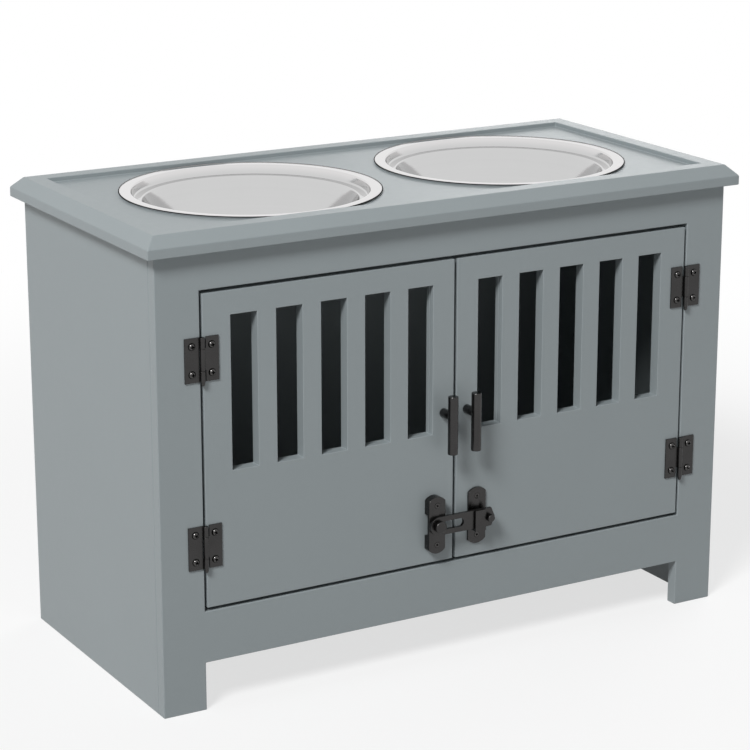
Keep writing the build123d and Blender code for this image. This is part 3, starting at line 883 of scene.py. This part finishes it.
class FEEDER_OT_hinges(FeederOperator, bpy.types.Operator):
    """Make the hinge leaves with their knuckles, and the hinge pins"""

    bl_idname = "feeder.hinges"
    bl_label = "Hinges"

    KNUCKLE_TURNS = 48
    PIN_TURNS = 28
    SHANK = 0.58  # radius of a pin as a share of its head's
    HEAD_SIDE = 0.45  # height of the head's upright side as a share of the head's height
    HEAD_END = 0.72  # radius of the head's lower end as a share of the head's
    # the bends from the top down, as shares of the shank's radius and of the head's
    SHANK_BENDS = (0.4, 0.05)
    HEAD_BENDS = (0.2, 0.3, 0.6)

    def execute(self, context):
        for side in SIDES:
            for level in LEVELS:
                for owner in ("frame", "door"):
                    self.leaf(side, level, owner)
                self.pin(side, level)
        return {"FINISHED"}

    def leaf(self, side, level, owner):
        """A leaf: a plate cut back beside the other leaf's knuckles, and its own as cylinders."""
        sizes = self.sizes
        node = f"hinge_{owner}_leaf_{side}_{level}"
        low, high = corners(node)
        axis = measured(f"hinge_pin_{side}_{level}")[2]
        radius = axis[1] - low[1]
        outer = max(low[0], high[0], key=lambda x: abs(x - axis[0]))
        ends = owner == "frame"  # it has both end knuckles, and the door leaf the middle one
        room = sizes.knuckle_clearance if ends else sizes.knuckle_relief
        notch = axis[0] + math.copysign(radius + room, outer - axis[0])
        gap = sizes.knuckle_gap / 2 * (-1 if ends else 1)
        drop = (high[2] - low[2]) * sizes.knuckle_end
        zs = [low[2], low[2] + drop + gap, high[2] - drop - gap, high[2]]
        rows = [0, 2] if ends else [1]
        cells = np.zeros((2, 1, 3), bool)
        cells[0, 0, rows] = cells[1] = True
        xs = [axis[0], notch, outer]
        if outer < axis[0]:
            xs, cells = xs[::-1], cells[::-1]
        shapes = [cell_solid(xs, [high[1] - sizes.leaf_thickness, high[1]], zs, cells)]
        edge = sizes.metal_edge
        for row in rows:
            top, bottom = zs[row + 1], zs[row]
            path = rounded(
                [(0, top, 0), (radius, top, edge), (radius, bottom, edge), (0, bottom, 0)], steps=3
            )
            shapes.append(lathe(path, axis * FLAT, Z, X, self.KNUCKLE_TURNS))
        piece(f"{owner}_leaf_{side}_{level}", joined(*shapes), [node], bevel=edge)

    def pin(self, side, level):
        """A pin with a round-ended head below the barrel."""
        node = f"hinge_pin_{side}_{level}"
        low, high, middle, head = measured(node)
        barrel = corners(f"hinge_frame_leaf_{side}_{level}")[0][2]
        shank = head * self.SHANK
        bends = [shank * part for part in self.SHANK_BENDS]
        bends += [head * part for part in self.HEAD_BENDS]
        path = rounded(
            [
                (0.0, high[2], 0.0),
                (shank, high[2], bends[0]),
                (shank, barrel, bends[1]),
                (head, barrel, bends[2]),
                (head, barrel - (barrel - low[2]) * self.HEAD_SIDE, bends[3]),
                (head * self.HEAD_END, low[2], bends[4]),
                (0.0, low[2], 0.0),
            ],
            steps=5,
        )
        turned(f"pin_{side}_{level}", node, path, middle * FLAT, self.PIN_TURNS)


class FEEDER_OT_pulls(FeederOperator, bpy.types.Operator):
    """Make the T-bar pulls and the posts that carry them"""

    bl_idname = "feeder.pulls"
    bl_label = "Pulls"

    BAR_TURNS = 64
    POST_TURNS = 48
    SLOPE = 0.6  # width of the bevel at a bar's ends as a share of its height
    BITE = 0.5  # how far a post stops from its bar's middle, as a share of the bar's radius
    BAR_BEND = 0.4  # share of the bevel's height
    POST_BEND = 0.05  # share of the post's radius

    def execute(self, context):
        bevel = self.sizes.pull_bevel
        bend = bevel * self.BAR_BEND
        for side in SIDES:
            node = f"pull_bar_{side}"
            low, high, middle, radius = measured(node)
            end = radius - bevel * self.SLOPE
            path = rounded(
                [
                    (0.0, high[2], 0.0),
                    (end, high[2], bend),
                    (radius, high[2] - bevel, bend),
                    (radius, low[2] + bevel, bend),
                    (end, low[2], bend),
                    (0.0, low[2], 0.0),
                ],
                steps=4,
            )
            turned(f"bar_pull_{side}", node, path, middle * FLAT, self.BAR_TURNS)

            node = f"pull_post_{side}"
            inner = middle[1] + radius * self.BITE
            _, high, middle, post = measured(node)
            edge = post * self.POST_BEND
            reach = high[1] - inner
            rows = [(0, reach, 0), (post, reach, edge), (post, 0, edge), (0, 0, 0)]
            path = rounded(rows, steps=3)
            foot = middle * (X + Z) + high * Y
            turned(f"post_{side}", node, path, foot, self.POST_TURNS, axis=-Y)
        return {"FINISHED"}


class FEEDER_OT_latch(FeederOperator, bpy.types.Operator):
    """Make the flip latch: base, stud, slotted bar, knob and keeper"""

    bl_idname = "feeder.latch"
    bl_label = "Latch"

    PARTS = {
        "latch_base": "bridge_base",
        "latch_bar": "flip_bar",
        "latch_keeper": "hook_keeper",
        "latch_stud": "bar_stud",
        "latch_knob": "bar_knob",
    }

    def execute(self, context):
        for node, name in self.PARTS.items():
            softened(node, name, self.sizes.metal_edge)
        return {"FINISHED"}


class FEEDER_OT_screws(FeederOperator, bpy.types.Operator):
    """Make the screws of the hinges, the latch and the pulls"""

    bl_idname = "feeder.screws"
    bl_label = "Screws"

    TURNS = 40
    RINGS = 14  # rings of a head from its middle to its edge
    SEED = 40  # of the turns of the recesses
    # shares of the head's radius: half width and half length of a recess arm, width of its soft
    # wall, where the polished crown ends and the black painted shade of the head's edge begins, and
    # the width over which it fades
    ARM_WIDTH, ARM_LENGTH, ARM_SOFT = 0.11, 0.45, 0.10
    POLISH_END, POLISH_FADE = 0.92, 0.08
    RECESS_DEPTH = 0.5  # share of the height of crown and cone

    def arm(self, across, along, radius):
        """1 inside an arm of the recess and 0 outside it, with a soft wall between them."""
        inside = [
            np.clip((reach * radius - np.abs(distance)) / (self.ARM_SOFT * radius) + 0.5, 0, 1)
            for reach, distance in ((self.ARM_WIDTH, across), (self.ARM_LENGTH, along))
        ]
        return inside[0] * inside[1]

    def screw(self, centre, twist, outwards, radius, crown, cone, shank, length):
        """A screw: a domed head with a cross recess, an optional cone under it, and its shank.

        The head is a cap of a ball whose radius is (R ** 2 + crown ** 2) / (2 * crown), R being
        the head's radius: its height over radius r is sqrt(ball ** 2 - r ** 2) - (ball - crown).
        The recess is sunk where either of two crossed arms is. The third result is the mark that
        the finish reads at each point: 1 on the polished crown and 0 in the recess, on the head's
        edge and below, which the finish paints black as shade.
        """
        ball = (radius**2 + crown**2) / (2 * crown)
        r = np.linspace(0, radius, self.RINGS + 1)
        head = np.stack([r, np.sqrt(ball**2 - r**2) - (ball - crown)], axis=1)
        path = np.concatenate([head, [(shank, -cone), (shank, -length), (0.0, -length)]])
        start = math.cos(twist) * X + math.sin(twist) * Z
        points, quads = lathe(path, centre, outwards, start, self.TURNS)
        top = points[: len(head) * self.TURNS] - centre
        u, v = top @ start, top @ np.cross(outwards, start)
        cut = np.maximum(self.arm(u, v, radius), self.arm(v, u, radius))
        points[: len(top)] -= (self.RECESS_DEPTH * (crown + cone) * cut)[:, None] * outwards
        out = np.repeat(r, self.TURNS) / radius
        polish_and_shade = np.zeros(len(points))
        # 0 marks the recess and the head's edge, which the finish paints black as shade
        polish_and_shade[: len(top)] = np.clip((self.POLISH_END - out) / self.POLISH_FADE, 0, 1) * (1 - cut)
        return points, quads, polish_and_shade

    def group(self, name, node, places, outwards=-Y, **shape):
        """Like screws of one frame node as one piece, each with its own turn of the recess.

        Places are their x, y and z.
        """
        centres = np.stack(np.meshgrid(*places, indexing="ij"), axis=-1).reshape(-1, 3)
        twists = np.random.default_rng(self.SEED).uniform(0, math.pi / 2, len(centres))
        made = [self.screw(*place, outwards, **shape) for place in zip(centres, twists)]
        surface = joined(*[screw[:2] for screw in made])
        marks = {"polish_and_shade": np.concatenate([screw[2] for screw in made])}
        piece(name, surface, [node], marks=marks, sharp=50.0, coat=blackened_and_shaded_screw)

    def hinge_screws(self, name, node, leaf, sides):
        """The domed screws of one kind of hinge leaf: two in each, in line with its middle."""
        sizes = self.sizes
        low, high, middle, _ = measured(node)
        names = [f"hinge_{leaf}_leaf_{side}_{level}" for side in sides for level in LEVELS]
        leaves = [corners(name) for name in names]
        heights = sorted({round((bottom[2] + top[2]) / 2, 6) for bottom, top in leaves})
        head = sizes.screw_head
        xs = [low[0] + head, high[0] - head] if len(sides) > 1 else [middle[0]]
        span = sizes.hinge_screw_span / 2
        face = leaves[0][1][1] - sizes.leaf_thickness
        places = xs, [face], [z + half for z in heights for half in (-span, span)]
        shape = {"radius": head, "crown": sizes.screw_crown, "shank": sizes.screw_shank}
        self.group(name, node, places, cone=0.0, length=high[1] - face, **shape)

    def execute(self, context):
        sizes = self.sizes
        self.hinge_screws("frame_hinge_screws", "hinge_screws_frame", "frame", tuple(SIDES))
        for side in SIDES:
            self.hinge_screws(f"{side}_hinge_screws", f"hinge_screws_door_{side}", "door", (side,))

        head = sizes.flush_head
        shape = {"radius": head, "crown": sizes.flush_crown, "cone": sizes.flush_cone}
        for part, name in (("base", "bridge_screws"), ("keeper", "keeper_screws")):
            node = f"latch_{part}_screws"
            low, high, middle, _ = measured(node)
            places = [middle[0]], [low[1]], [low[2] + head, high[2] - head]
            depth = high[1] - low[1]
            self.group(name, node, places, shank=sizes.screw_shank, length=depth, **shape)

        for side in SIDES:
            node = f"pull_screw_{side}"
            low, high, middle, head = measured(node)
            crown = sizes.bolt_crown
            places = [middle[0]], [high[1] - crown], [middle[2]]
            shape = {"radius": head, "crown": crown, "cone": 0.0, "shank": head / 2}
            depth = high[1] - low[1] - crown
            self.group(f"pull_bolt_{side}", node, places, Y, length=depth, **shape)
        return {"FINISHED"}


class FEEDER_OT_hidden_fixings(FeederOperator, bpy.types.Operator):
    """Give the dowels and the table screws their finishes"""

    bl_idname = "feeder.hidden_fixings"
    bl_label = "Hidden Fixings"

    def execute(self, context):
        for node in ("frame_dowels", "top_screws"):
            for slot in frame["nodes"][node].material_slots:
                slot.material = finish(FINISHES[SLOT_OF[node]])
        return {"FINISHED"}


class FEEDER_OT_stage(FeederOperator, bpy.types.Operator):
    """Make the floor, the light and the camera"""

    bl_idname = "feeder.stage"
    bl_label = "Stage"

    FLOOR_TURNS = 96
    FLOOR_RINGS = (0.0, 1.0, 6.0)  # radii of the floor's inner rings
    # each lamp: its azimuth from the front towards the left and its elevation, both in degrees,
    # its distance and its width, and whether glossy surfaces show it
    LAMPS = {
        "key": (55, 43, 6.0, 1.8, True),
        "rear": (-120, 16, 4.0, 2.5, False),
        "fill": (-10, 5, 4.0, 2.5, False),
        "sheen": (219.5, 19, 3.0, 1.1, True),
    }

    def seen(self, graph):
        """1 for rays from the camera, a reflection or glass, which see the plain white room."""
        camera = graph.node("ShaderNodeLightPath", out="Is Camera Ray")
        return camera + camera.other("Is Glossy Ray") + camera.other("Is Transmission Ray")

    def matt_floor(self, graph, stage):
        """A matt floor that keeps the feeder's soft shadow and turns plain white further out."""
        place = {0: graph.place()}
        distance = graph.node("ShaderNodeVectorMath", place, out="Value", operation="LENGTH")
        ramp = {
            "Value": distance,
            "From Min": stage.floor_near,
            "From Max": stage.floor_far,
            "To Min": stage.floor_cover,
            "To Max": 1.0,
        }
        far = graph.node("ShaderNodeMapRange", ramp, interpolation_type="SMOOTHSTEP")
        seen = self.seen(graph)
        shade = graph.mix(seen, solid(stage.bounce), solid(stage.floor))
        matt = graph.node("ShaderNodeBsdfDiffuse", {"Color": shade})
        white = graph.node("ShaderNodeEmission", {"Color": WHITE, "Strength": 1.0})
        return graph.node("ShaderNodeMixShader", {0: seen * far, 1: matt, 2: white})

    def floor(self, stage):
        """A round, flat floor: rings of points at the angles t about the origin."""
        t = np.linspace(0, 2 * math.pi, self.FLOOR_TURNS, endpoint=False)
        rings = np.array([*self.FLOOR_RINGS, stage.floor_radius])[:, None, None]
        points = np.stack([np.cos(t), np.sin(t), 0 * t], axis=1) * rings
        quads = grid_quads(len(rings), self.FLOOR_TURNS, closed=True)
        mesh, _ = meshed("studio_floor", (points.reshape(-1, 3), quads))
        mesh.materials.append(material("studio_floor", self.matt_floor, stage))
        floor = shown("studio_floor", mesh)

    def sky(self, stage):
        """Even light from all round, which the camera and reflections see as plain white."""
        world = bpy.data.worlds.new("studio_sky")
        bpy.context.scene.world = world
        graph = Graph(world)
        seen = self.seen(graph)
        level = seen + (1 - seen) * stage.sky
        even = graph.node("ShaderNodeBackground", {"Color": WHITE, "Strength": level})
        graph.node("ShaderNodeOutputWorld", {"Surface": even})

    def all_but_bowls(self):
        """What the lamps light: everything but the bowls, which mirror the plain white room."""
        reach = bpy.data.collections.new("lit_by_lamps")
        for side in SIDES:
            reach.objects.link(bpy.data.objects[f"steel_bowl_{side}"])
        for entry in reach.collection_objects:
            entry.light_linking.link_state = "EXCLUDE"
        return reach

    def aimed(self, name, data, target, azimuth, elevation, distance):
        """A lamp or the camera at an angle and a distance from its target, turned towards it.

        The direction to it is (-sin(azimuth) * cos(elevation), -cos(azimuth) * cos(elevation),
        sin(elevation)).
        """
        flat = math.cos(elevation)
        way = Vector((-math.sin(azimuth) * flat, -math.cos(azimuth) * flat, math.sin(elevation)))
        made = shown(name, data)
        made.location = Vector(target) + way * distance
        made.rotation_euler = (-way).to_track_quat("-Z", "Y").to_euler()
        return made

    def lamp(self, name, level, reach, azimuth, elevation, distance, width, glossy):
        """A round lamp whose power is level * pi ** 2 * distance ** 2.

        At that power a white surface that faces it shows the level.
        """
        data = bpy.data.lights.new(f"{name}_lamp", "AREA")
        data.shape, data.size = "DISK", width
        data.energy = level * math.pi**2 * distance**2
        target = (MIDDLE[0], MIDDLE[1], TABLE_HIGH[2] / 2)
        angles = math.radians(azimuth), math.radians(elevation)
        made = self.aimed(f"{name}_lamp", data, target, *angles, distance)
        made.visible_glossy = glossy
        made.visible_camera = False
        made.light_linking.receiver_collection = reach

    def camera(self, stage):
        """The camera, at its angle and distance from the target."""
        data = bpy.data.cameras.new("camera")
        data.lens = stage.camera_lens
        angles = stage.camera_azimuth, stage.camera_elevation
        made = self.aimed("camera", data, stage.camera_target, *angles, stage.camera_distance)
        bpy.context.scene.camera = made

    def execute(self, context):
        stage = context.scene.feeder_stage
        context.scene.view_settings.view_transform = "Standard"
        self.floor(stage)
        self.sky(stage)
        reach = self.all_but_bowls()
        for name, place in self.LAMPS.items():
            self.lamp(name, getattr(stage, name), reach, *place)
        self.camera(stage)
        return {"FINISHED"}


# ---- panel and registration ----

OPERATORS = FeederOperator.__subclasses__()  # in the order in which they stand above
GROUPS = {
    "feeder_sizes": FeederSizes,
    "feeder_finishes": FeederFinishes,
    "feeder_stage": FeederStage,
}


class FEEDER_PT_build(bpy.types.Panel):
    """The feeder's settings and the button of each piece"""

    bl_idname = "FEEDER_PT_build"
    bl_label = "Raised Dog Feeder"
    bl_space_type = "VIEW_3D"
    bl_region_type = "UI"
    bl_category = "Feeder"

    def draw(self, context):
        for name in GROUPS:
            group = getattr(context.scene, name)
            box = self.layout.box()
            for row in group.__annotations__:
                box.prop(group, row)
        column = self.layout.column(align=True)
        for operator in OPERATORS:
            column.operator(operator.bl_idname)


def register():
    for made in (*GROUPS.values(), *OPERATORS, FEEDER_PT_build):
        bpy.utils.register_class(made)
    for name, group in GROUPS.items():
        setattr(bpy.types.Scene, name, PointerProperty(type=group))


def unregister():
    for name in GROUPS:
        delattr(bpy.types.Scene, name)
    for made in (FEEDER_PT_build, *reversed(OPERATORS), *reversed(GROUPS.values())):
        bpy.utils.unregister_class(made)


def main():
    register()
    for operator in OPERATORS:
        group, name = operator.bl_idname.split(".")
        getattr(getattr(bpy.ops, group), name)()


if __name__ == "__main__":
    main()
